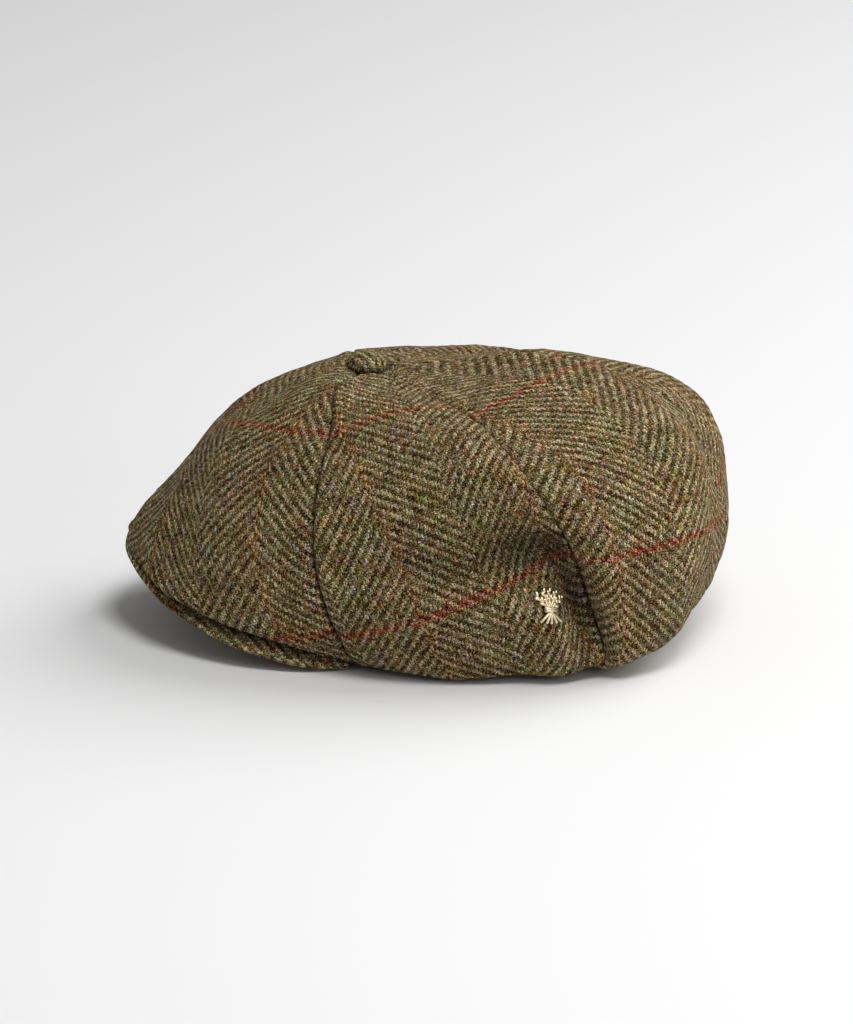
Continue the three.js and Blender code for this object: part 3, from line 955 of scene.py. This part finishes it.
def sheaf_parts(half):
    """A tied sheaf of corn that faces +Z, with its tie at the middle."""
    parts = []
    for k in range(SHEAF["ears"]):
        lean = k - (SHEAF["ears"] - 1) / 2
        above = 0.3 * (k % 2)
        foot = np.array([-lean * SHEAF["cross"], -half + SHEAF["lift"] * lean**2, 0.4 + above])
        waist = np.array([lean * 0.6, -1.5, 0.6])
        tip = np.array([lean * SHEAF["spread"], half - SHEAF["droop"] * lean**2, 0.5 + above])
        stalk, _ = bend(foot, waist, tip, np.linspace(0, 1, 14))
        parts.append(tube(stalk, SHEAF["straw"]))
        places, aheads = bend(foot, waist, tip, np.linspace(SHEAF["grains_start"], 1, SHEAF["grains"]))
        for n, (centre, ahead) in enumerate(zip(places, aheads)):
            across = np.array([ahead[1], -ahead[0], 0]) * (1 if n % 2 else -1)
            middle = centre + across * SHEAF["apart"] + [0, 0, 0.3]
            s = np.linspace(-1, 1, 7)
            path = middle + unit(ahead + across * SHEAF["grain_lean"]) * s[:, None] * SHEAF["grain"]
            radii = SHEAF["grain_radius"] * np.sqrt(np.clip(1 - s**2, 0.02, 1))
            parts.append(tube(path, radii))
    t = np.linspace(0, TAU, 25)
    width = SHEAF["tie_width"]
    for level in SHEAF["tie_levels"]:
        tie = np.stack([width * np.cos(t), level + 0.15 * np.cos(t), 0.8 * np.sin(t) + 0.7], axis=-1)
        parts.append(tube(tie, SHEAF["tie"], out=(0, 1, 0)))
    return parts


def window(grid, row, column, reach):
    """The part of a grid that is within so many rows and columns of one place."""
    rows, columns = reach
    return grid[row - rows : row + rows + 1, column - columns : column + columns + 1]


def bowl_terms(points):
    """What each number of a bowl's shape is multiplied by at each point."""
    x, y = points[:, 0], points[:, 1]
    return np.stack([np.ones(len(points)), x, y, x * x, x * y, y * y], axis=-1)


def make_badge(material, crown):
    """A small cast pin in the form of a tied sheaf of corn, upright and bent to lie along the cloth."""
    outer, normals, _ = crown["L"][BADGE["panel"]]
    row = round(BADGE["v"] * ROWS)
    column = round(BADGE["u"] * COLUMNS)
    out = unit(window(normals, row, column, BADGE["seat"]).mean(axis=(0, 1)))
    up = unit(np.array([0, 0, 1.0]) - out * out[2])
    turn = math.radians(BADGE["turn"])
    up = unit(up * math.cos(turn) + np.cross(up, out) * math.sin(turn))
    axes = np.array([np.cross(up, out), up, out])
    points, faces, looks_out = joined(sheaf_parts(BADGE["height"] / 2))
    around = window(outer, row, column, BADGE["bowl"]).reshape(-1, 3)
    near = (around - outer[row, column]) @ axes.T
    near = near[np.hypot(near[:, 0], near[:, 1]) < BADGE["reach"]]
    bowl = np.linalg.lstsq(bowl_terms(near), near[:, 2], rcond=None)[0] * BADGE["bend"]
    over = (near[:, 2] - bowl_terms(near) @ bowl).max()
    points[:, 2] += bowl_terms(points) @ bowl + over + BADGE["gap"]
    placed = points @ axes + outer[row, column]
    # How far each point looks out is kept for the pin's painted shade.
    badge = as_object("sheaf_pin", placed, faces, material, looks_out[:, None], "relief")
    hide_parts("badge")
    return badge


# Floor, light and camera.
VIEW = {"azimuth": 97.0, "elevation": 17.0, "distance": 6.0, "field": 0.4052,
        "aim": (0.0, 0.00091, 0.05435)}
FLOOR = {"reach": 6.0, "shade": 0.78}
WORLD_STRENGTH = 0.28
LIGHTS = [
    {"name": "key", "place": (-0.9, 1.35, 1.4), "size": 2.0, "power": 38},
    {"name": "top", "place": (0.8, 0.45, 1.8), "size": 0.8, "power": 20},
    {"name": "side", "place": (1.6, 1.5, 0.9), "size": 0.8, "power": 7},
]
LIGHT_AIM = (0, 0, 0.06)


def make_stage():
    material, flow = new_material("pale_floor")
    shade = FLOOR["shade"]
    finish_material(flow, (shade, shade, shade, 1), 0.9)
    mesh = bpy.data.meshes.new("floor")
    reach = FLOOR["reach"]
    corners = [(-reach, -reach, 0), (reach, -reach, 0), (reach, reach, 0), (-reach, reach, 0)]
    mesh.from_pydata(corners, [], [[0, 1, 2, 3]])
    mesh.materials.append(material)
    floor = bpy.data.objects.new("floor", mesh)
    bpy.context.scene.collection.objects.link(floor)


def make_light(name, place, size, power):
    data = bpy.data.lights.new(name, "AREA")
    data.shape = "DISK"
    data.size = size
    data.energy = power
    light = bpy.data.objects.new(name, data)
    light.location = place
    ahead = Vector(LIGHT_AIM) - Vector(place)
    light.rotation_euler = ahead.to_track_quat("-Z", "Y").to_euler()
    bpy.context.scene.collection.objects.link(light)


def make_world(strength):
    world = bpy.data.worlds.new("studio")
    world.use_nodes = True
    background = world.node_tree.nodes["Background"]
    background.inputs["Color"].default_value = (1, 1, 1, 1)
    background.inputs["Strength"].default_value = strength
    bpy.context.scene.world = world


def make_camera():
    azimuth = math.radians(VIEW["azimuth"])
    elevation = math.radians(VIEW["elevation"])
    data = bpy.data.cameras.new("camera")
    data.sensor_fit = "HORIZONTAL"
    data.sensor_width = 36
    data.lens = data.sensor_width * VIEW["distance"] / VIEW["field"]
    data.clip_end = 100
    camera = bpy.data.objects.new("camera", data)
    level = math.cos(elevation)
    back = Vector((math.sin(azimuth) * level, -math.cos(azimuth) * level, math.sin(elevation)))
    camera.location = Vector(VIEW["aim"]) + back * VIEW["distance"]
    camera.rotation_euler = (-back).to_track_quat("-Z", "Y").to_euler()
    bpy.context.scene.collection.objects.link(camera)
    bpy.context.scene.camera = camera


def main():
    make_camera()
    make_stage()
    make_world(WORLD_STRENGTH)
    for light in LIGHTS:
        make_light(**light)
    bpy.context.scene.view_settings.view_transform = "Standard"
    tweed = tweed_material()
    panels, crown = make_panels(tweed)
    pieces = panels + [
        make_peak(tweed),
        make_band(band_material()),
        make_button(tweed),
        make_badge(gilt_material(), crown),
    ]
    for piece in pieces:
        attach(piece, "root")


main()
